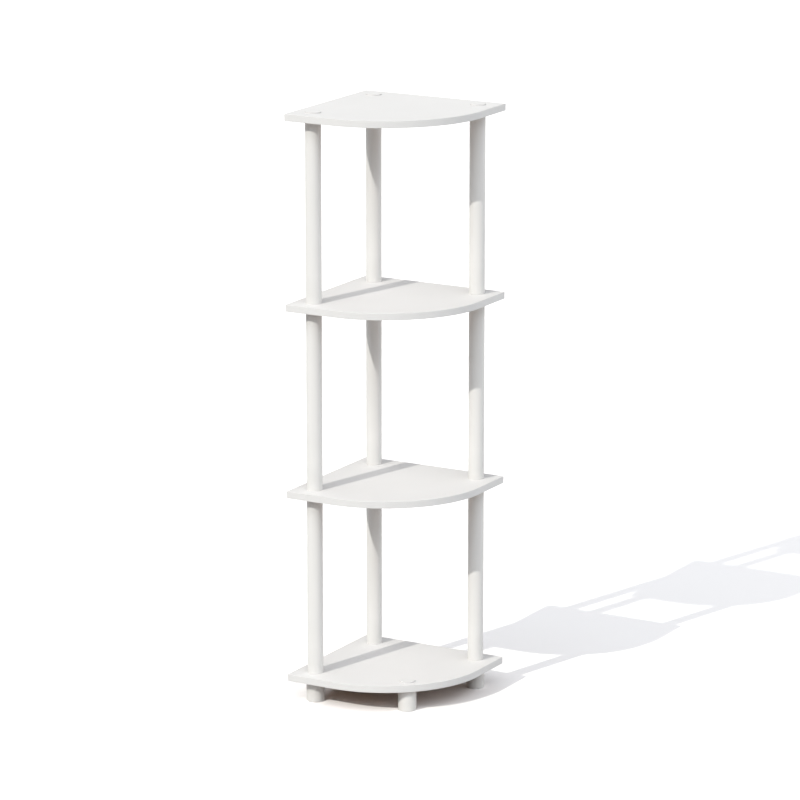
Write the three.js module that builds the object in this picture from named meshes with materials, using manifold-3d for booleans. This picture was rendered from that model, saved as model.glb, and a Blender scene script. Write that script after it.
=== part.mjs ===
// Corner shelf unit: boards with a rounded front corner, carried on tube posts that screw together.
// Millimetres, +Z up. The floor is z = 0, and the origin is the centre of the square footprint.
// The wall sides face -X and +Y, so the walls meet behind -X +Y, and the rounded corner
// points to +X -Y.

import * as THREE from 'three';
import { mergeVertices } from 'three/addons/utils/BufferGeometryUtils.js';
import Module from 'manifold-3d';

// Driving dimensions: the boards
const shelfCount = 4;
const sideLength = 294; // each wall side of a board, edge band included
const frontRadius = 197; // plan radius of the rounded front corner
const boardThickness = 13; // chipboard and top foil together
const foilThickness = 0.3;
const bandThickness = 0.8;
const bandSeam = 0.2; // between the band's two ends, behind the wall corner
const shelfPitch = 350; // from one board's top to the next

// Driving dimensions: the posts, set out from the wall corner
const postInset = 38; // tube axis to the nearest board sides
const tubeDiameter = 29.4;
const tubeWall = 1.6;

// Driving dimensions: the front foot, set out from the rounded corner
const frontFootInset = 25.8; // foot's axis to the rounded edge
const frontFootAngle = -46.9 * Math.PI / 180; // round the rounded corner's centre, from +X

// Driving dimensions: feet and caps
const footDiameter = 34;
const footHeight = 41;
const footRounding = 1.5; // lower edge
const footWall = 2.6;
const footFloor = 4;
const footWebThickness = 2;
const footWebDrop = 6; // top of the webs below the rim
const socketBossWall = 2.4; // around the foot's thread groove
const capDiameter = 28.5;
const capHeight = 2.4;
const capRounding = 0.4; // upper edge

// Driving dimensions: inserts and threads
const insertGap = 0.3; // insert to tube wall, all round
const plugLength = 16; // part of a stud insert that sits in the tube
const plugWall = 3;
const plugFloor = 4;
const socketLength = 20;
const studCoreDiameter = 12;
const studReach = 15; // past the board's underside
const studTipChamfer = 1.5;
const threadHeight = 1.6;
const threadPitch = 5;
const threadLead = 1.5; // plain stud between the board's underside and the thread
const threadRootWidth = 2.2;
const threadCrestWidth = 1;
const threadClearance = 0.4;
const threadSink = 0.5; // the rib starts this far inside the stud
const holeClearance = 0.9; // board hole round the thread's crest
const cutOverrun = 1;

// Turns and numbers of sides
const threadTurns = 1.25;
const mouthTurns = 0.75; // how much sooner the groove starts, above the mouth
const threadSides = 12;
const groovePastRibTurns = 1 / threadSides;
const insertSides = 16;
const roundSides = 20;
const tubeSides = 24;
const roundingSteps = 2;
const arcDivisions = 10; // each gives two chords of the rounded corner

// Worked out from the driving dimensions
const halfSide = sideLength / 2;
const coreThickness = boardThickness - foilThickness;
const tubeLength = shelfPitch - boardThickness;
const tubeRadius = tubeDiameter / 2;
const tubeBoreRadius = tubeRadius - tubeWall;
const insertRadius = tubeBoreRadius - insertGap;
const studRadius = studCoreDiameter / 2;
const crestRadius = studRadius + threadHeight;
const boreRadius = studRadius + threadClearance;
const grooveRadius = crestRadius + threadClearance;
const holeRadius = crestRadius + holeClearance;
const footRadius = footDiameter / 2;
const capRadius = capDiameter / 2;
const postOffset = halfSide - postInset;
const arcCentre = halfSide - frontRadius; // the rounded corner's centre is at arcCentre, -arcCentre
const frontFootReach = frontRadius - frontFootInset;
const boardBottom = (level) => footHeight + level * shelfPitch;
const boardTop = (level) => boardBottom(level) + boardThickness;

const posts = {
  corner: [-postOffset, postOffset],
  left: [-postOffset, -postOffset],
  right: [postOffset, postOffset],
};
const frontFootPlace = [
  frontFootReach * Math.cos(frontFootAngle) + arcCentre,
  frontFootReach * Math.sin(frontFootAngle) - arcCentre,
];

// Colours and finishes
const finishes = {
  chipboard: { color: 0x86674b, roughness: 0.85, metalness: 0 },
  foil: { color: 0xeeedea, roughness: 0.5, metalness: 0 },
  band: { color: 0xecebe8, roughness: 0.45, metalness: 0 },
  tube: { color: 0xeceae4, roughness: 0.4, metalness: 0 },
  insert: { color: 0xd9d7d0, roughness: 0.5, metalness: 0 },
  foot: { color: 0xebe9e3, roughness: 0.4, metalness: 0 },
  cap: { color: 0xeeece8, roughness: 0.4, metalness: 0 },
};

const wasm = await Module();
wasm.setup();

// Closed solid of a three.js geometry: shared vertices are merged and empty triangles dropped.
function solidOf(geometry) {
  geometry.deleteAttribute('normal');
  geometry.deleteAttribute('uv');
  const merged = mergeVertices(geometry);
  const corners = merged.index.array;
  const triangles = [];
  for (let i = 0; i < corners.length; i += 3) {
    const [a, b, c] = [corners[i], corners[i + 1], corners[i + 2]];
    if (a !== b && b !== c && c !== a) triangles.push(a, b, c);
  }
  return new wasm.Manifold(new wasm.Mesh({
    numProp: 3,
    vertProperties: new Float32Array(merged.attributes.position.array),
    triVerts: new Uint32Array(triangles),
  }));
}

function geometryOf(solid) {
  const { vertProperties, triVerts } = solid.getMesh();
  const geometry = new THREE.BufferGeometry();
  geometry.setAttribute('position', new THREE.BufferAttribute(vertProperties, 3));
  geometry.setIndex(new THREE.BufferAttribute(triVerts, 1));
  geometry.computeVertexNormals();
  return geometry;
}

// Turned solid about Z. The profile's points are [radius, height].
function turned(profile, sides) {
  const points = profile.map(([radius, height]) => new THREE.Vector2(radius, height));
  const geometry = new THREE.LatheGeometry(points, sides);
  geometry.rotateX(Math.PI / 2);
  return solidOf(geometry);
}

function plate(outline, holes, thickness) {
  const shape = new THREE.Shape(outline);
  shape.holes = holes.map((points) => new THREE.Path(points));
  return solidOf(new THREE.ExtrudeGeometry(shape, { depth: thickness, bevelEnabled: false }));
}

// Quarter round between a flat and a wall, from its first angle to its last.
function rounding(radius, height, size, from, to) {
  return Array.from({ length: roundingSteps + 1 }, (_, step) => {
    const angle = from + (to - from) * step / roundingSteps;
    return [radius + size * Math.cos(angle), height + size * Math.sin(angle)];
  });
}

// Helical rib of trapezoid section, right-handed. It winds down with its turns, and passes topZ
// at turn 0.
function threadRib(outerRadius, widening, topZ, firstTurn, lastTurn) {
  const innerRadius = studRadius - threadSink;
  const halfRoot = threadRootWidth / 2 + widening;
  const halfCrest = threadCrestWidth / 2 + widening;
  const section = new THREE.Shape([
    new THREE.Vector2(innerRadius, -halfRoot),
    new THREE.Vector2(outerRadius, -halfCrest),
    new THREE.Vector2(outerRadius, halfCrest),
    new THREE.Vector2(innerRadius, halfRoot),
  ]);
  const turns = lastTurn - firstTurn;
  const steps = Math.round(turns * threadSides);
  const bar = new THREE.ExtrudeGeometry(section, { depth: turns, steps, bevelEnabled: false });
  const place = bar.attributes.position;
  for (let i = 0; i < place.count; i += 1) {
    const turn = firstTurn + place.getZ(i);
    const angle = -turn * 2 * Math.PI;
    const height = topZ - turn * threadPitch + place.getY(i);
    const radius = place.getX(i);
    place.setXYZ(i, radius * Math.cos(angle), radius * Math.sin(angle), height);
  }
  return solidOf(bar);
}

// Threaded stud that hangs from z = 0, the board's top, through the board and into the socket.
// Its root reaches up to rootZ, inside the plug or head that carries it.
function threadedStud(rootZ) {
  const tipZ = -boardThickness - studReach;
  const core = turned([
    [0, tipZ],
    [studRadius - studTipChamfer, tipZ],
    [studRadius, tipZ + studTipChamfer],
    [studRadius, rootZ],
    [0, rootZ],
  ], threadSides);
  return core.add(threadRib(crestRadius, 0, -boardThickness - threadLead, 0, threadTurns));
}

// What a socket with its mouth at mouthZ leaves open: the bore and the thread's groove.
function socketSpace(mouthZ) {
  const bore = turned([
    [0, mouthZ - socketLength - cutOverrun],
    [boreRadius, mouthZ - socketLength - cutOverrun],
    [boreRadius, mouthZ + cutOverrun],
    [0, mouthZ + cutOverrun],
  ], threadSides);
  const lastTurn = threadTurns + groovePastRibTurns;
  const threadTop = mouthZ - threadLead;
  return bore.add(threadRib(grooveRadius, threadClearance, threadTop, -mouthTurns, lastTurn));
}

// Board outline without its closing point, from the wall corner by the left tip and the rounded
// corner to the right tip.
function boardOutline(inset) {
  const edge = halfSide - inset;
  const outline = new THREE.Path();
  outline.moveTo(-edge, edge);
  outline.lineTo(-edge, -edge);
  outline.absarc(arcCentre, -arcCentre, frontRadius - inset, -Math.PI / 2, 0, false);
  outline.lineTo(edge, edge);
  return outline.getPoints(arcDivisions);
}

function postHole([x, y]) {
  return Array.from({ length: roundSides }, (_, side) => {
    const angle = 2 * Math.PI * side / roundSides;
    return new THREE.Vector2(x + holeRadius * Math.cos(angle), y + holeRadius * Math.sin(angle));
  });
}

function boardHoles(level) {
  const places = Object.values(posts);
  if (level === 0) places.push(frontFootPlace);
  return places.map(postHole);
}

function boardCore(level) {
  return plate(boardOutline(bandThickness), boardHoles(level), coreThickness);
}

function topFoil(level) {
  return plate(boardOutline(bandThickness), boardHoles(level), foilThickness);
}

// One strip round the board's whole edge, its two ends butted behind the wall corner.
function edgeBand() {
  const outer = boardOutline(0);
  const inner = boardOutline(bandThickness);
  const edge = halfSide - bandThickness;
  const endX = bandSeam - edge;
  const outline = [
    new THREE.Vector2(-edge, halfSide),
    ...outer,
    new THREE.Vector2(endX, halfSide),
    new THREE.Vector2(endX, edge),
    ...inner.toReversed(),
  ];
  return plate(outline, [], boardThickness);
}

// Plain tube that stands on z = 0.
function tube() {
  return turned([
    [tubeBoreRadius, 0],
    [tubeRadius, 0],
    [tubeRadius, tubeLength],
    [tubeBoreRadius, tubeLength],
    [tubeBoreRadius, 0],
  ], tubeSides);
}

// Plug in a tube's lower end, z = 0, with the stud that reaches through the board below it.
function studInsert() {
  const plug = turned([
    [0, 0],
    [insertRadius, 0],
    [insertRadius, plugLength],
    [insertRadius - plugWall, plugLength],
    [insertRadius - plugWall, plugFloor],
    [0, plugFloor],
  ], insertSides);
  return plug.add(threadedStud(plugFloor / 2));
}

// Threaded plug in a tube's upper end, z = 0.
function socketInsert() {
  const plug = turned([
    [0, -socketLength],
    [insertRadius, -socketLength],
    [insertRadius, 0],
    [0, 0],
  ], insertSides);
  return plug.subtract(socketSpace(0));
}

// Moulded cup with a threaded boss on four webs. It stands on z = 0.
function foot() {
  const bossRadius = grooveRadius + socketBossWall;
  const cavityRadius = footRadius - footWall;
  const cup = turned([
    [0, 0],
    ...rounding(footRadius - footRounding, footRounding, footRounding, -Math.PI / 2, 0),
    [footRadius, footHeight],
    [cavityRadius, footHeight],
    [cavityRadius, footFloor],
    [bossRadius, footFloor],
    [bossRadius, footHeight],
    [0, footHeight],
  ], roundSides);
  const webTop = footHeight - footWebDrop;
  const webHeight = webTop - footFloor / 2;
  const webLength = 2 * cavityRadius + footWall;
  const webs = [0, Math.PI / 2].map((turn) => {
    const web = new THREE.BoxGeometry(webLength, footWebThickness, webHeight);
    web.rotateZ(turn);
    web.translate(0, 0, webTop - webHeight / 2);
    return solidOf(web);
  });
  return cup.add(webs[0]).add(webs[1]).subtract(socketSpace(footHeight));
}

// Flat screw cap: its head lies on a board's top, z = 0.
function cap() {
  const head = turned([
    [0, 0],
    [capRadius, 0],
    ...rounding(capRadius - capRounding, capHeight - capRounding, capRounding, 0, Math.PI / 2),
    [0, capHeight],
  ], roundSides);
  return head.add(threadedStud(capHeight / 2));
}

function meshOf(name, geometry, finish, z) {
  const mesh = new THREE.Mesh(geometry, new THREE.MeshStandardMaterial(finishes[finish]));
  mesh.name = name;
  mesh.position.z = z;
  return mesh;
}

function groupAt([x, y], z) {
  const group = new THREE.Group();
  group.position.set(x, y, z);
  return group;
}

function shelf(level) {
  const group = groupAt([0, 0], boardBottom(level));
  const number = level + 1;
  group.add(
    meshOf(`board_core_${number}`, geometryOf(boardCore(level)), 'chipboard', 0),
    meshOf(`top_foil_${number}`, geometryOf(topFoil(level)), 'foil', coreThickness),
    meshOf(`edge_band_${number}`, geometryOf(edgeBand()), 'band', 0),
  );
  return group;
}

const tubeGeometry = geometryOf(tube());
const studInsertGeometry = geometryOf(studInsert());
const socketInsertGeometry = geometryOf(socketInsert());
const footGeometry = geometryOf(foot());
const capGeometry = geometryOf(cap());

// One bay of a post: the tube and its two inserts, standing on the board of that level.
function postBay(post, level) {
  const group = groupAt(posts[post], boardTop(level));
  const label = `${post}_${level + 1}`;
  group.add(
    meshOf(`tube_${label}`, tubeGeometry, 'tube', 0),
    meshOf(`stud_insert_${label}`, studInsertGeometry, 'insert', 0),
    meshOf(`socket_insert_${label}`, socketInsertGeometry, 'insert', tubeLength),
  );
  return group;
}

function endPieces(post, place, capZ) {
  const group = groupAt(place, 0);
  group.add(
    meshOf(`foot_${post}`, footGeometry, 'foot', 0),
    meshOf(`screw_cap_${post}`, capGeometry, 'cap', capZ),
  );
  return group;
}

const unit = new THREE.Group();
for (let level = 0; level < shelfCount; level += 1) unit.add(shelf(level));
for (const post of Object.keys(posts)) {
  for (let level = 0; level < shelfCount - 1; level += 1) unit.add(postBay(post, level));
  unit.add(endPieces(post, posts[post], boardTop(shelfCount - 1)));
}
unit.add(endPieces('front', frontFootPlace, boardTop(0)));

export default unit;
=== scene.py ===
# Corner shelf unit: the finish and fine shape of every piece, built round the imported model.
# Metres, +Z up. The wall sides face -X and +Y, and the rounded corner points to +X -Y.

import math

import bmesh
import bpy
from mathutils import Matrix, Vector


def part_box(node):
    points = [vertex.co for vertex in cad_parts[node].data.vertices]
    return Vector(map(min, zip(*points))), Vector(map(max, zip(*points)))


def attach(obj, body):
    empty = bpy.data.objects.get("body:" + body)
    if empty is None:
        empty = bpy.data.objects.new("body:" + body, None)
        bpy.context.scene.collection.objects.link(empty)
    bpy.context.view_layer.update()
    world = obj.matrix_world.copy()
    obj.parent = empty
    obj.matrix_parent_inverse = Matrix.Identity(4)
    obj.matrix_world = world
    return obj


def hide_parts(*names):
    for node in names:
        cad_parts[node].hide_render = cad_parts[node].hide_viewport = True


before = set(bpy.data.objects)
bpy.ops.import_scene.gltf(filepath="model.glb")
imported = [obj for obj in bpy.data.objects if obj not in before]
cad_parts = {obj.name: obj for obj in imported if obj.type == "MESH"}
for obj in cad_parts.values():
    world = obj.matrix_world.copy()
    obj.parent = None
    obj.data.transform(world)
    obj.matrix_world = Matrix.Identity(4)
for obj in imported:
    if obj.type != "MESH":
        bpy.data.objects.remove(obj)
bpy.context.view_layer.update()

POSTS = ("corner", "left", "right")
LEVELS = (1, 2, 3, 4)  # the boards, from the lowest up
BAYS = (1, 2, 3)  # between the boards, from the lowest up

# Camera: the photograph's direction of view, from further back
CAMERA_PLACE = (3.847, -6.748, 2.462)
CAMERA_TURN = math.radians(29.63)
CAMERA_TILT = math.radians(13.74)
CAMERA_LENS = 196.2  # mm, on a 36 mm sensor

# Light
SUN_TURN = math.radians(13.9)  # from +Y towards +X, the way its light goes
SUN_HEIGHT = math.radians(37.5)
SUN_STRENGTH = 1.78
SUN_SPREAD = math.radians(0.6)
SUN_COLOUR = (1.0, 0.97, 0.9)
SOFT_COLOUR = (0.95, 0.97, 1.0)
TOP_STRENGTH = 0.16
TOP_RISE = (0.8, 0.92)  # sines of the heights where the light from above comes up
# Rings of soft light below it: the sines of the heights where each comes up and gives way, and its
# strength by direction in degrees from +X
RINGS = (
    ((-0.06, 0.06), (0.3, 0.42), {30: 1.3}),
    ((0.3, 0.42), (0.58, 0.7), {-60: 1.5, -15: 0.2, 30: 0.4, -150: 0.1}),
    ((0.58, 0.7), (0.8, 0.92), {-60: 1.75, -15: 0.2, 30: 1.2, 120: 0.4, -150: 2.4}),
)

# Floor
FLOOR_SIZE = 80
FLOOR_COLOUR = (0.45, 0.45, 0.45)
FLOOR_SEEN_COLOUR = (1.33, 1.315, 1.315)  # for the camera alone, so that the lit floor is white

# Boards
FRONT_RADIUS = 0.197  # plan radius of the rounded front corner
HOLE_RADIUS = 0.0085  # each post's hole
TIP_ROUNDING = 0.0014  # plan rounding where the band is bent round the two tips
TIP_LEAST_ROUNDING = TIP_ROUNDING / 4  # of the outlines inside the band
BAND_SEAM = 0.0002
BAND_ROUNDING = 0.0005  # the band's outer edges
FOIL_CHAMFER = 0.0001
ARC_STEPS = 72
TIP_STEPS = 5
BAND_STEPS = 4

# Tubes, feet and caps
TUBE_WALL = 0.0016
TUBE_CHAMFER = 0.0004
FOOT_ROUNDING = 0.0015
FOOT_WALL = 0.0026
FOOT_FLOOR = 0.004
FOOT_BOSS_RADIUS = 0.0104
FOOT_RIM_CHAMFER = 0.0003
FOOT_WEB_THICKNESS = 0.002
FOOT_WEB_DROP = 0.006  # top of the webs below the rim
CAP_ROUNDING = 0.0004
STUD_RADIUS = 0.006
STUD_REACH = 0.015  # below the board
STUD_CHAMFER = 0.0015
SOCKET_DEPTH = 0.02
OVERRUN = 0.001  # the socket's cut past its ends
ROUND_SIDES = 96
ROUNDING_STEPS = 8

# Threads
THREAD_HEIGHT = 0.0016
THREAD_PITCH = 0.005
THREAD_LEAD = 0.0015  # plain stud between the board's underside and the thread
THREAD_ROOT = 0.0022
THREAD_CREST = 0.001
THREAD_CLEARANCE = 0.0004  # between a stud and its socket
THREAD_SINK = 0.0005  # the rib starts this far inside the stud
THREAD_TURNS = 1.25
MOUTH_TURNS = 0.75  # how much sooner the groove starts, above the mouth
GROOVE_PAST_RIB_TURNS = 1 / 12
THREAD_STEPS = 48  # in a turn

SMOOTH_ANGLE = math.radians(40)  # faces that meet at more have a crisp edge between them
MERGE_DISTANCE = 0.000003  # of the vertices that a Boolean leaves side by side

# Finishes: a tone is a share of the piece's colour, a swing is how far its roughness varies round
# its middle, and a depth is the height of its bumps
FOIL_COLOUR = (0.848, 0.842, 0.836)
BAND_COLOUR = (0.818, 0.815, 0.809)
TUBE_COLOUR = (0.882, 0.876, 0.859)
FOOT_COLOUR = (0.91, 0.902, 0.88)
CAP_COLOUR = (0.838, 0.832, 0.824)
INSERT_COLOUR = (0.78, 0.77, 0.74)
NOISE_RANGE = (0.3, 0.7)  # where nearly all of a noise's values lie
DRIFT_TONES = (0.985, 1.01)  # slow change over a piece
PRINT_TONES = (0.99, 1.01)
SHEEN_GRAIN_SHARE = 1 / 3  # of the print's scale
PEEL_GRAIN_SHARE = 1.3
LAYER_SWING = (-0.05, 0.05)
LAYER_DEPTH = 0.00005
DRAW_LINE_STRETCH = (1, 1, 0.004)
DRAW_LINE_TONES = (0.988, 1.008)
DRAW_LINE_SWING = (-0.05, 0.07)
TUBE_FOOT_PAINTED_SHADE = 0.875  # painted shade at the lower end, darker where the lit board below brightens the tube
TUBE_END_SHARE = 0.16  # of the tube's length, over which that painted shade fades
MOULD_SWING = (-0.06, 0.06)
PLASTIC_DEPTH = 0.00006
# Caps: painted shade on their upright sides, as a share of their colour there
CAP_SIDE_PAINTED_SHADE = 0.82
SIDE_TO_TOP = (0.2, 0.95)  # rise of the surface's normal, over which the painted shade on a side fades

# Bare chipboard: the places of its browns on the scale from the darkest chip to the palest
CHIP_BROWNS = (
    (0.0, (0.17, 0.086, 0.042)),
    (0.35, (0.27, 0.147, 0.075)),
    (0.7, (0.34, 0.19, 0.1)),
    (1.0, (0.44, 0.265, 0.148)),
)
CHIP_STRETCH = (1, 0.45, 1)
CHIP_WANDER = 0.006  # how far the chips' outlines stray
FLECK_STRETCH = (0.5, 1, 1)
FLECK_TONES = (0.82, 1.1)
FIBRE_TONES = (0.85, 1.12)
CHIP_ROUGHNESS = 0.85
CHIP_DEPTH = 0.0003


def new_object(name, data):
    """New object in the scene."""
    made = bpy.data.objects.new(name, data)
    bpy.context.scene.collection.objects.link(made)
    return made


def set_camera():
    data = bpy.data.cameras.new("camera")
    data.lens = CAMERA_LENS
    camera = new_object("camera", data)
    camera.location = CAMERA_PLACE
    camera.rotation_euler = (math.pi / 2 - CAMERA_TILT, 0, CAMERA_TURN)
    bpy.context.scene.camera = camera


# Nodes

def set_inputs(tree, node, inputs):
    """An input is a value, or the output socket that is linked to it."""
    for name, value in inputs.items():
        if isinstance(value, bpy.types.NodeSocket):
            tree.links.new(value, node.inputs[name])
        else:
            node.inputs[name].default_value = value


def add_node(tree, kind, inputs=None, **settings):
    made = tree.nodes.new(kind)
    for name, value in settings.items():
        setattr(made, name, value)
    set_inputs(tree, made, inputs or {})
    return made


def maths(tree, operation, *values):
    made = add_node(tree, "ShaderNodeMath", dict(enumerate(values)), operation=operation)
    return made.outputs["Value"]


def product(tree, first, second):
    return maths(tree, "MULTIPLY", first, second)


def vector_maths(tree, operation, *values):
    made = add_node(tree, "ShaderNodeVectorMath", dict(enumerate(values)), operation=operation)
    return made.outputs["Value" if operation == "DOT_PRODUCT" else "Vector"]


def scaled(tree, vector, factor):
    """A colour or place times a factor. Either may vary over the surface."""
    made = add_node(tree, "ShaderNodeVectorMath", {0: vector, "Scale": factor}, operation="SCALE")
    return made.outputs["Vector"]


def rise_of(tree, vector):
    return add_node(tree, "ShaderNodeSeparateXYZ", {"Vector": vector}).outputs["Z"]


def stretched(tree, place, stretch):
    inputs = {"Vector": place, "Scale": stretch}
    return add_node(tree, "ShaderNodeMapping", inputs).outputs["Vector"]


def noise(tree, place, scale, detail, roughness=0.5, output="Fac"):
    inputs = {"Vector": place, "Scale": scale, "Detail": detail, "Roughness": roughness}
    return add_node(tree, "ShaderNodeTexNoise", inputs).outputs[output]


def cells(tree, place, scale):
    return add_node(tree, "ShaderNodeTexVoronoi", {"Vector": place, "Scale": scale}).outputs


def spread(tree, value, wanted, given=NOISE_RANGE):
    """The value moved from the given range to the wanted one, and held to its ends."""
    inputs = {
        "Value": value, "From Min": given[0], "From Max": given[1],
        "To Min": wanted[0], "To Max": wanted[1],
    }
    return add_node(tree, "ShaderNodeMapRange", inputs).outputs["Result"]


def around(middle_value, swing):
    return (middle_value + swing[0], middle_value + swing[1])


def bump(tree, height, strength, depth):
    inputs = {"Height": height, "Strength": strength, "Distance": depth}
    return add_node(tree, "ShaderNodeBump", inputs).outputs["Normal"]


def new_material(name):
    material = bpy.data.materials.new(name)
    material.use_nodes = True
    tree = material.node_tree
    place = add_node(tree, "ShaderNodeTexCoord").outputs["Object"]
    return material, tree, tree.nodes["Principled BSDF"], place


# Materials

def white_layer(name, colour, roughness, gloss, grain):
    """Smooth white decor foil or edging: nearly even, with a faint print and a fine orange peel. The
    grain is the print's scale, and gloss is the specular level."""
    material, tree, shader, place = new_material(name)
    drift = spread(tree, noise(tree, place, scale=7, detail=3), DRIFT_TONES)
    printed = spread(tree, noise(tree, place, scale=grain, detail=2), PRINT_TONES)
    sheen = noise(tree, place, scale=grain * SHEEN_GRAIN_SHARE, detail=4)
    peel = noise(tree, place, scale=grain * PEEL_GRAIN_SHARE, detail=2)
    set_inputs(tree, shader, {
        "Base Color": scaled(tree, colour, product(tree, drift, printed)),
        "Roughness": spread(tree, sheen, around(roughness, LAYER_SWING)),
        "Specular IOR Level": gloss,
        "Normal": bump(tree, peel, strength=0.25, depth=LAYER_DEPTH),
    })
    return material


def extruded_plastic(name, colour, roughness):
    """White tube plastic with faint draw lines along its length, and painted shade that darkens its
    lower end.
    """
    material, tree, shader, place = new_material(name)
    lines = noise(tree, stretched(tree, place, DRAW_LINE_STRETCH), scale=900, detail=3, roughness=0.6)
    drift = spread(tree, noise(tree, place, scale=9, detail=2), DRIFT_TONES)
    drawn = spread(tree, lines, DRAW_LINE_TONES)
    along = rise_of(tree, add_node(tree, "ShaderNodeTexCoord").outputs["Generated"])
    # Painted shade: each tube darker towards its lower end, where the lit board below brightens it
    painted_foot_shade = spread(tree, along, (TUBE_FOOT_PAINTED_SHADE, 1), (0, TUBE_END_SHARE))
    set_inputs(tree, shader, {
        "Base Color": scaled(tree, colour, product(tree, product(tree, drift, drawn), painted_foot_shade)),
        "Roughness": spread(tree, lines, around(roughness, DRAW_LINE_SWING)),
        "Normal": bump(tree, lines, strength=0.3, depth=PLASTIC_DEPTH),
    })
    return material


def moulded_plastic(name, colour, roughness, shade_on_sides=1.0):
    """White moulded plastic with the fine grain of an eroded mould. The shade on its sides, when below
    1, is painted shade that makes its upright sides darker than its top."""
    material, tree, shader, place = new_material(name)
    grain = noise(tree, place, scale=2600, detail=2, roughness=0.6)
    drift = spread(tree, noise(tree, place, scale=60, detail=3), DRIFT_TONES)
    rise = rise_of(tree, add_node(tree, "ShaderNodeNewGeometry").outputs["True Normal"])
    # Painted shade: upright sides darker than the top, fading out as the normal rises
    painted_side_shade = spread(tree, rise, (shade_on_sides, 1), SIDE_TO_TOP)
    set_inputs(tree, shader, {
        "Base Color": scaled(tree, colour, product(tree, drift, painted_side_shade)),
        "Roughness": spread(tree, grain, around(roughness, MOULD_SWING)),
        "Normal": bump(tree, grain, strength=0.35, depth=PLASTIC_DEPTH),
    })
    return material


def chipboard():
    """Bare pressed chipboard: overlapping chips and fibres in several browns."""
    material, tree, shader, place = new_material("bare_chipboard")
    stray = noise(tree, place, scale=90, detail=2, output="Color")
    bent = vector_maths(tree, "ADD", place, scaled(tree, stray, CHIP_WANDER))
    chips = cells(tree, stretched(tree, bent, CHIP_STRETCH), scale=420)
    flecks = cells(tree, stretched(tree, bent, FLECK_STRETCH), scale=1100)
    brown = add_node(tree, "ShaderNodeValToRGB", {"Fac": chips["Color"]})
    stops = brown.color_ramp.elements
    for position, _ in CHIP_BROWNS[1:-1]:
        stops.new(position)
    for stop, (_, colour) in zip(stops, CHIP_BROWNS):
        stop.color = (*colour, 1)
    fibre = spread(tree, noise(tree, place, scale=1500, detail=4, roughness=0.7), FIBRE_TONES)
    fleck = spread(tree, flecks["Color"], FLECK_TONES, (0, 1))
    set_inputs(tree, shader, {
        "Base Color": scaled(tree, brown.outputs["Color"], product(tree, fibre, fleck)),
        "Roughness": CHIP_ROUGHNESS,
        "Normal": bump(tree, chips["Distance"], strength=0.4, depth=CHIP_DEPTH),
    })
    return material


# Light and floor

def seen_directly(tree):
    """1 for rays from the camera, also by way of a glossy or clear surface."""
    path = add_node(tree, "ShaderNodeLightPath").outputs
    seen = maths(tree, "MAXIMUM", path["Is Camera Ray"], path["Is Glossy Ray"])
    return maths(tree, "MAXIMUM", seen, path["Is Transmission Ray"])


def set_sun():
    data = bpy.data.lights.new("sun", "SUN")
    data.energy = SUN_STRENGTH
    data.angle = SUN_SPREAD
    data.color = SUN_COLOUR
    sun = new_object("sun", data)
    sun.rotation_euler = (math.pi / 2 - SUN_HEIGHT, 0, -SUN_TURN)


def ring(tree, way, height, rise, fall, strengths):
    """Strength of one ring of soft light in a direction. What comes from each of its own directions
    falls off with the square of the cosine."""
    level = vector_maths(tree, "NORMALIZE", vector_maths(tree, "MULTIPLY", way, (1, 1, 0)))
    total = 0.0
    for degrees, strength in strengths.items():
        turn = math.radians(degrees)
        cosine = vector_maths(tree, "DOT_PRODUCT", level, (math.cos(turn), math.sin(turn), 0))
        facing = maths(tree, "MAXIMUM", cosine, 0.0)
        total = maths(tree, "MULTIPLY_ADD", product(tree, facing, facing), strength, total)
    share = product(tree, spread(tree, height, (0, 1), rise), spread(tree, height, (1, 0), fall))
    return product(tree, share, total)


def set_sky():
    """Soft, slightly cool light from above and in rings all round; the camera sees plain white."""
    world = bpy.data.worlds.new("studio")
    bpy.context.scene.world = world
    world.use_nodes = True
    tree = world.node_tree
    tree.nodes.clear()
    way = add_node(tree, "ShaderNodeTexCoord").outputs["Generated"]
    height = rise_of(tree, way)
    strength = spread(tree, height, (0, TOP_STRENGTH), TOP_RISE)
    for rise, fall, strengths in RINGS:
        strength = maths(tree, "ADD", ring(tree, way, height, rise, fall, strengths), strength)
    sky = add_node(tree, "ShaderNodeBackground", {"Color": (*SOFT_COLOUR, 1), "Strength": strength})
    white = add_node(tree, "ShaderNodeBackground", {"Color": (1, 1, 1, 1), "Strength": 1.0})
    inputs = {0: seen_directly(tree), 1: sky.outputs[0], 2: white.outputs[0]}
    mix = add_node(tree, "ShaderNodeMixShader", inputs)
    add_node(tree, "ShaderNodeOutputWorld", {"Surface": mix.outputs[0]})


def floor_material():
    """Matt floor that lights the object as a pale grey, and is white where the camera sees it lit."""
    material = bpy.data.materials.new("pale_floor")
    material.use_nodes = True
    tree = material.node_tree
    tree.nodes.clear()
    # In a colour mix, sockets 6 and 7 are the two colours and output 2 is the mixed one
    inputs = {0: seen_directly(tree), 6: (*FLOOR_COLOUR, 1), 7: (*FLOOR_SEEN_COLOUR, 1)}
    mix = add_node(tree, "ShaderNodeMix", inputs, data_type="RGBA", clamp_factor=True)
    diffuse = add_node(tree, "ShaderNodeBsdfDiffuse", {"Color": mix.outputs[2]})
    add_node(tree, "ShaderNodeOutputMaterial", {"Surface": diffuse.outputs[0]})
    return material


def set_floor():
    half = FLOOR_SIZE / 2
    corners = [(-half, -half, 0), (half, -half, 0), (half, half, 0), (-half, half, 0)]
    mesh = bpy.data.meshes.new("floor")
    mesh.from_pydata(corners, [], [(0, 1, 2, 3)])
    mesh.materials.append(floor_material())
    new_object("floor", mesh)


# Mesh building

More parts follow.
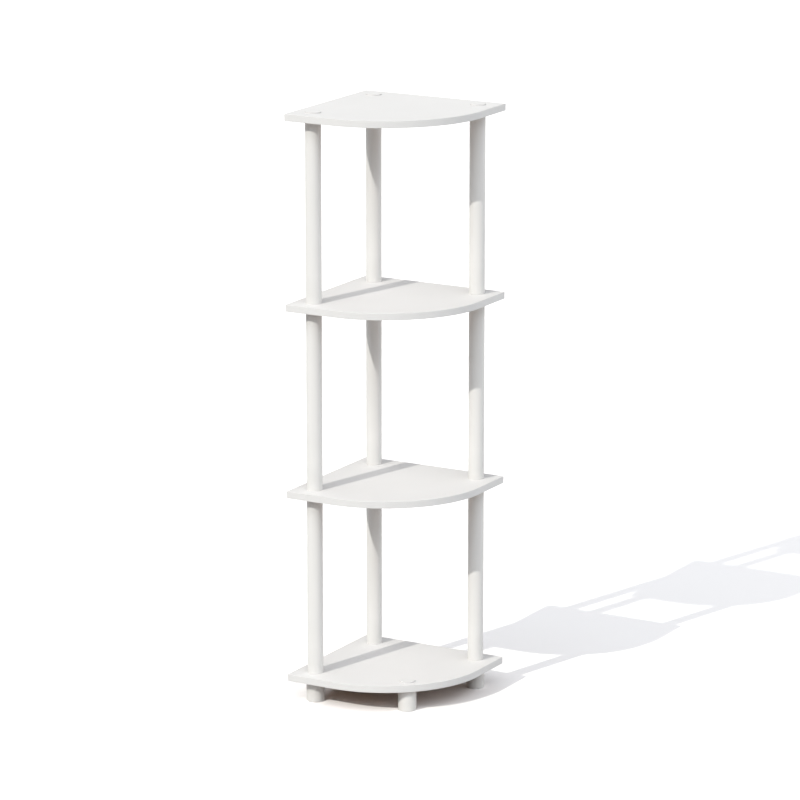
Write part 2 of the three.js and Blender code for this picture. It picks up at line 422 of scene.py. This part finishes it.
def finished(bm, name):
    """Mesh of a bmesh whose faces close one body, with smooth round parts and crisp edges."""
    bmesh.ops.recalc_face_normals(bm, faces=bm.faces[:])
    mesh = bpy.data.meshes.new(name)
    bm.to_mesh(mesh)
    bm.free()
    mesh.shade_smooth()
    mesh.set_sharp_from_angle(angle=SMOOTH_ANGLE)
    return mesh


def arc(centre, radius, start, end, steps):
    """Points of a circle's stretch, from one angle to another."""
    x, y = centre[:2]
    angles = [start + (end - start) * step / steps for step in range(steps + 1)]
    return [(x + radius * math.cos(angle), y + radius * math.sin(angle)) for angle in angles]


def turned(name, profile):
    """Solid turned about Z. The profile's points are (radius, height), and it starts and ends on
    the axis or closes on itself."""
    bm = bmesh.new()
    turns = [2 * math.pi * side / ROUND_SIDES for side in range(ROUND_SIDES)]
    rings = []
    for radius, height in profile:
        places = [(radius * math.cos(turn), radius * math.sin(turn), height) for turn in turns]
        rings.append([bm.verts.new(place) for place in (places if radius else places[:1])])
    pairs = list(zip(rings, rings[1:]))
    if profile[0][0]:
        pairs.append((rings[-1], rings[0]))
    for lower, upper in pairs:
        for side in range(ROUND_SIDES):
            after = (side + 1) % ROUND_SIDES
            corners = [lower[side % len(lower)], lower[after % len(lower)],
                       upper[after % len(upper)], upper[side % len(upper)]]
            bm.faces.new(list(dict.fromkeys(corners)))
    return finished(bm, name)


def combined(mesh, tool, operation):
    """The mesh after a Boolean with another."""
    pieces = [new_object("work", data) for data in (mesh, tool)]
    boolean = pieces[0].modifiers.new("combine", "BOOLEAN")
    boolean.solver = "EXACT"
    boolean.operation = operation
    boolean.object = pieces[1]
    graph = bpy.context.evaluated_depsgraph_get()
    bm = bmesh.new()
    bm.from_object(pieces[0], graph)
    for piece in pieces:
        bpy.data.objects.remove(piece)
    bmesh.ops.remove_doubles(bm, verts=bm.verts[:], dist=MERGE_DISTANCE)
    bmesh.ops.dissolve_degenerate(bm, dist=MERGE_DISTANCE, edges=bm.edges[:])
    return finished(bm, mesh.name)


def thread(widening, top, first_turn, last_turn):
    """Helical rib of trapezoid section, right-handed. It winds down and passes top at turn 0."""
    inner, outer = STUD_RADIUS - THREAD_SINK, STUD_RADIUS + THREAD_HEIGHT + widening
    root, crest = THREAD_ROOT / 2 + widening, THREAD_CREST / 2 + widening
    section = ((inner, -root), (outer, -crest), (outer, crest), (inner, root))
    bm = bmesh.new()
    steps = round((last_turn - first_turn) * THREAD_STEPS)
    rings = []
    for step in range(steps + 1):
        turn = first_turn + step / THREAD_STEPS
        x, y = math.cos(-2 * math.pi * turn), math.sin(-2 * math.pi * turn)
        height = top - turn * THREAD_PITCH
        rings.append([bm.verts.new((radius * x, radius * y, height + rise)) for radius, rise in section])
    for first, second in zip(rings, rings[1:]):
        for here in range(len(section)):
            bm.faces.new((first[here - 1], first[here], second[here], second[here - 1]))
    bm.faces.new(rings[0])
    bm.faces.new(rings[-1])
    return finished(bm, "thread")


def outline(half_side, inset):
    """Board outline from the wall corner by the left tip and the rounded corner to the right tip."""
    edge = half_side - inset
    rounding = max(TIP_ROUNDING - inset, TIP_LEAST_ROUNDING)
    tip = edge - rounding
    centre = half_side - FRONT_RADIUS
    return [
        (-edge, edge),
        *arc((-tip, -tip), rounding, math.pi, 1.5 * math.pi, TIP_STEPS),
        *arc((centre, -centre), FRONT_RADIUS - inset, -math.pi / 2, 0, ARC_STEPS),
        *arc((tip, tip), rounding, 0, math.pi / 2, TIP_STEPS),
    ]


def hole(centre, radius):
    """Outline of a round hole, whose last point isn't the first again."""
    return arc(centre, radius, 0, 2 * math.pi * (1 - 1 / ROUND_SIDES), ROUND_SIDES - 1)


def plate(name, rims, holes):
    """Closed plate with holes. Its rims are (outline, height) from the bottom up, all with as many
    points."""
    bm = bmesh.new()
    bottom, top = rims[0][1], rims[-1][1]
    walls = [rims] + [[(points, bottom), (points, top)] for points in holes]
    ends = ([], [])
    for wall in walls:
        loops = [[bm.verts.new((x, y, z)) for x, y in points] for points, z in wall]
        for lower, upper in zip(loops, loops[1:]):
            for here in range(len(lower)):
                after = (here + 1) % len(lower)
                bm.faces.new((lower[here], lower[after], upper[after], upper[here]))
        for end, loop in zip(ends, (loops[0], loops[-1])):
            end += [bm.edges.get((loop[i - 1], loop[i])) for i in range(len(loop))]
    for end in ends:
        bmesh.ops.triangle_fill(bm, use_beauty=True, edges=end)
    return finished(bm, name)


def edging(name, half_side, thickness, low, high):
    """Strip round the board's edge with rounded outer edges, its ends butted at the wall corner."""
    rounding = BAND_ROUNDING
    section = [
        (thickness, low),
        *arc((rounding, low + rounding), rounding, -math.pi / 2, -math.pi, BAND_STEPS),
        *arc((rounding, high - rounding), rounding, math.pi, math.pi / 2, BAND_STEPS),
        (thickness, high),
    ]
    bm = bmesh.new()
    end_x = BAND_SEAM + thickness - half_side
    strips = []
    for inset, z in section:
        points = outline(half_side, inset)
        points[0] = (points[0][0], half_side)
        points.append((end_x, half_side - inset))
        strips.append([bm.verts.new((x, y, z)) for x, y in points])
    for first, second in zip(strips, strips[1:] + strips[:1]):
        for here in range(len(first) - 1):
            bm.faces.new((first[here], first[here + 1], second[here + 1], second[here]))
    bm.faces.new([strip[0] for strip in strips])
    bm.faces.new([strip[-1] for strip in strips])
    return finished(bm, name)


def web(length, low, high):
    """Upright cross wall of a foot, over its axis."""
    bm = bmesh.new()
    bmesh.ops.create_cube(bm, size=1)
    bmesh.ops.scale(bm, vec=(length, FOOT_WEB_THICKNESS, high - low), verts=bm.verts[:])
    bmesh.ops.translate(bm, vec=(0, 0, (low + high) / 2), verts=bm.verts[:])
    return finished(bm, "web")


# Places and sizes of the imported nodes

def middle(node):
    low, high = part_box(node)
    return (low + high) / 2


def standing_on(node):
    """Middle of a node's lower face."""
    centre = middle(node)
    return (centre.x, centre.y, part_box(node)[0].z)


def radius_of(node):
    low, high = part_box(node)
    return (high.x - low.x) / 2


def height_of(node):
    low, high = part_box(node)
    return high.z - low.z


# Pieces

def show(name, mesh, material, node, place):
    """The piece that stands for a CAD node."""
    own = mesh.copy()
    own.name = name
    own.transform(Matrix.Translation(place))
    own.materials.append(material)
    piece = new_object(name, own)
    normals = piece.modifiers.new("even_normals", "WEIGHTED_NORMAL")
    normals.keep_sharp = True
    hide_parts(node)
    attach(piece, "root")


def boards(materials):
    band_low, band_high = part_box("edge_band_1")
    core_low, core_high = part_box("board_core_1")
    half_side = band_high.x
    thickness = core_low.x - band_low.x
    core_height = core_high.z - core_low.z
    board_height = band_high.z - band_low.z
    foil_height = board_height - core_height
    band = edging("edging", half_side, thickness, 0, board_height)
    rim = outline(half_side, thickness)
    foil_rim = outline(half_side, thickness + FOIL_CHAMFER)
    for level in LEVELS:
        carriers = [f"tube_{post}_1" for post in POSTS]
        if level == 1:
            carriers.append("foot_front")
        holes = [hole(middle(node), HOLE_RADIUS) for node in carriers]
        core = plate("core", [(rim, 0), (rim, core_height)], holes)
        foil_rims = [(rim, 0), (rim, foil_height - FOIL_CHAMFER), (foil_rim, foil_height)]
        foil = plate("foil", foil_rims, holes)
        place = Vector((0, 0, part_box(f"board_core_{level}")[0].z))
        top = place + Vector((0, 0, core_height))
        show(f"chipboard_{level}", core, materials["core"], f"board_core_{level}", place)
        show(f"decor_top_{level}", foil, materials["foil"], f"top_foil_{level}", top)
        show(f"edging_{level}", band, materials["band"], f"edge_band_{level}", place)


def tubes(materials):
    radius, height = radius_of("tube_left_1"), height_of("tube_left_1")
    bore, chamfer = radius - TUBE_WALL, TUBE_CHAMFER
    mesh = turned("tube", [
        (bore, chamfer), (bore + chamfer, 0), (radius - chamfer, 0), (radius, chamfer),
        (radius, height - chamfer), (radius - chamfer, height),
        (bore + chamfer, height), (bore, height - chamfer),
    ])
    for post in POSTS:
        for bay in BAYS:
            node = f"tube_{post}_{bay}"
            show(f"post_{post}_{bay}", mesh, materials["tube"], node, standing_on(node))


def feet(materials):
    radius, height = radius_of("foot_left"), height_of("foot_left")
    cavity, rounding, chamfer = radius - FOOT_WALL, FOOT_ROUNDING, FOOT_RIM_CHAMFER
    mesh = turned("foot", [
        (0, 0),
        *arc((radius - rounding, rounding), rounding, -math.pi / 2, 0, ROUNDING_STEPS),
        (radius, height - chamfer), (radius - chamfer, height), (cavity, height),
        (cavity, FOOT_FLOOR), (FOOT_BOSS_RADIUS, FOOT_FLOOR), (FOOT_BOSS_RADIUS, height), (0, height),
    ])
    for turn in (0, math.pi / 2):
        # Each end reaches half into the wall, and the lower edge half into the floor
        part = web(2 * cavity + FOOT_WALL, FOOT_FLOOR / 2, height - FOOT_WEB_DROP)
        part.transform(Matrix.Rotation(turn, 4, "Z"))
        mesh = combined(mesh, part, "UNION")
    bore = STUD_RADIUS + THREAD_CLEARANCE
    low, high = height - SOCKET_DEPTH - OVERRUN, height + OVERRUN
    space = turned("bore", [(0, low), (bore, low), (bore, high), (0, high)])
    last_turn = THREAD_TURNS + GROOVE_PAST_RIB_TURNS
    groove = thread(THREAD_CLEARANCE, height - THREAD_LEAD, -MOUTH_TURNS, last_turn)
    mesh = combined(mesh, combined(space, groove, "UNION"), "DIFFERENCE")
    for post in (*POSTS, "front"):
        node = f"foot_{post}"
        show(f"floor_foot_{post}", mesh, materials["foot"], node, standing_on(node))


def caps(materials):
    radius, height = radius_of("screw_cap_left"), height_of("screw_cap_left")
    rounding, chamfer = CAP_ROUNDING, STUD_CHAMFER
    seat = STUD_REACH + height_of("edge_band_1")
    mesh = turned("cap", [
        (0, 0), (STUD_RADIUS - chamfer, 0), (STUD_RADIUS, chamfer), (STUD_RADIUS, seat), (radius, seat),
        *arc((radius - rounding, height - rounding), rounding, 0, math.pi / 2, ROUNDING_STEPS),
        (0, height),
    ])
    mesh = combined(mesh, thread(0, STUD_REACH - THREAD_LEAD, 0, THREAD_TURNS), "UNION")
    for post in (*POSTS, "front"):
        node = f"screw_cap_{post}"
        show(f"end_cap_{post}", mesh, materials["cap"], node, standing_on(node))


def inserts(materials):
    """The hidden inserts keep their CAD shapes."""
    for name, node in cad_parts.items():
        if name.startswith(("stud_insert", "socket_insert")):
            for slot in node.material_slots:
                slot.material = materials["insert"]


set_camera()
bpy.context.scene.view_settings.view_transform = "Standard"
set_sun()
set_sky()
set_floor()
looks = {
    "foil": white_layer("white_decor_foil", FOIL_COLOUR, roughness=0.66, gloss=0.3, grain=900),
    "band": white_layer("white_edging", BAND_COLOUR, roughness=0.42, gloss=0.5, grain=1200),
    "core": chipboard(),
    "tube": extruded_plastic("tube_plastic", TUBE_COLOUR, roughness=0.4),
    "foot": moulded_plastic("foot_plastic", FOOT_COLOUR, roughness=0.45),
    "cap": moulded_plastic("cap_plastic", CAP_COLOUR, roughness=0.6, shade_on_sides=CAP_SIDE_PAINTED_SHADE),
    "insert": moulded_plastic("insert_plastic", INSERT_COLOUR, roughness=0.5),
}
boards(looks)
tubes(looks)
feet(looks)
caps(looks)
inserts(looks)
